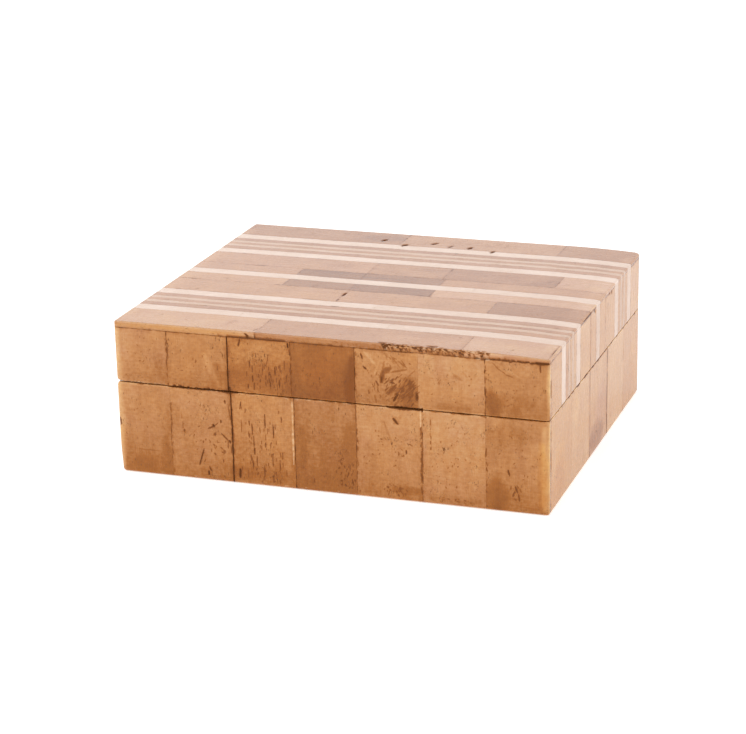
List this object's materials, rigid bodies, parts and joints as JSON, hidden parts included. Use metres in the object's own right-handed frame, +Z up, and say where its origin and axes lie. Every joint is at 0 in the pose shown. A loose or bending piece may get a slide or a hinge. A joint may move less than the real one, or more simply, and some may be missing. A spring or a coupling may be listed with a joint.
{
  "type": "lidded keepsake box",
  "caption": "Low rectangular keepsake box clad in stained bone tiles with pale inlaid strips; the hinged lid opens to a felt-lined tray.",
  "frame": {"origin": "middle of the underside, on the surface the box stands on", "axes": "+Z up, +X to the right along the box's width, -Y out of the front"},
  "size_m": [0.1778, 0.1534, 0.0635],
  "materials": {
    "stained_bone": "polished tea-stained bone",
    "bleached_bone": "polished bleached bone",
    "carcass_wood": "stained, waxed",
    "felt": "pressed felt",
    "hinge_brass": "satin"
  },
  "bodies": {
    "base": {"base_front_tile_1": "stained_bone", "base_front_tile_2": "stained_bone", "base_front_tile_3": "stained_bone", "base_front_tile_4": "stained_bone", "base_front_tile_5": "stained_bone", "base_front_tile_6": "stained_bone", "base_front_tile_7": "stained_bone", "base_right_tile_1": "stained_bone", "base_right_tile_2": "stained_bone", "base_right_tile_3": "stained_bone", "base_right_tile_4": "stained_bone", "base_right_tile_5": "stained_bone", "base_back_tiles": "stained_bone", "base_left_tiles": "stained_bone", "base_front_wall": "carcass_wood", "base_back_wall": "carcass_wood", "base_left_wall": "carcass_wood", "base_right_wall": "carcass_wood", "base_floor_panel": "carcass_wood", "base_floor_lining": "felt", "underside_felt": "felt", "left_hinge_base_leaf": "hinge_brass", "left_hinge_pin": "hinge_brass", "right_hinge_base_leaf": "hinge_brass", "right_hinge_pin": "hinge_brass", "base_hinge_screws": "hinge_brass"},
    "lid": {"lid_front_tile_1": "stained_bone", "lid_front_tile_2": "stained_bone", "lid_front_tile_3": "stained_bone", "lid_front_tile_4": "stained_bone", "lid_front_tile_5": "stained_bone", "lid_front_tile_6": "stained_bone", "lid_front_tile_7": "stained_bone", "lid_front_wall": "carcass_wood", "lid_back_wall": "carcass_wood", "lid_left_wall": "carcass_wood", "lid_right_wall": "carcass_wood", "lid_top_panel": "carcass_wood", "lid_back_tiles": "stained_bone", "lid_right_tiles": "stained_bone", "lid_right_strips": "bleached_bone", "lid_left_tiles": "stained_bone", "lid_left_strips": "bleached_bone", "top_front_row": "stained_bone", "top_front_outer_row": "stained_bone", "top_front_inner_row": "stained_bone", "top_back_inner_row": "stained_bone", "top_back_outer_row": "stained_bone", "top_back_row": "stained_bone", "top_thin_dark_strips": "stained_bone", "top_thin_light_strips": "bleached_bone", "top_white_strip_1": "bleached_bone", "top_white_strip_2": "bleached_bone", "top_white_strip_3": "bleached_bone", "top_white_strip_4": "bleached_bone", "top_white_strip_5": "bleached_bone", "left_hinge_lid_leaf": "hinge_brass", "right_hinge_lid_leaf": "hinge_brass", "lid_hinge_screws": "hinge_brass"}
  },
  "joints": [
    {"name": "lid_hinge", "type": "hinge", "parent": "base", "child": "lid", "pos_m": [0, 0.0753, 0.03828], "axis": [-1, 0, 0], "range_deg": [0, 105]}
  ]
}
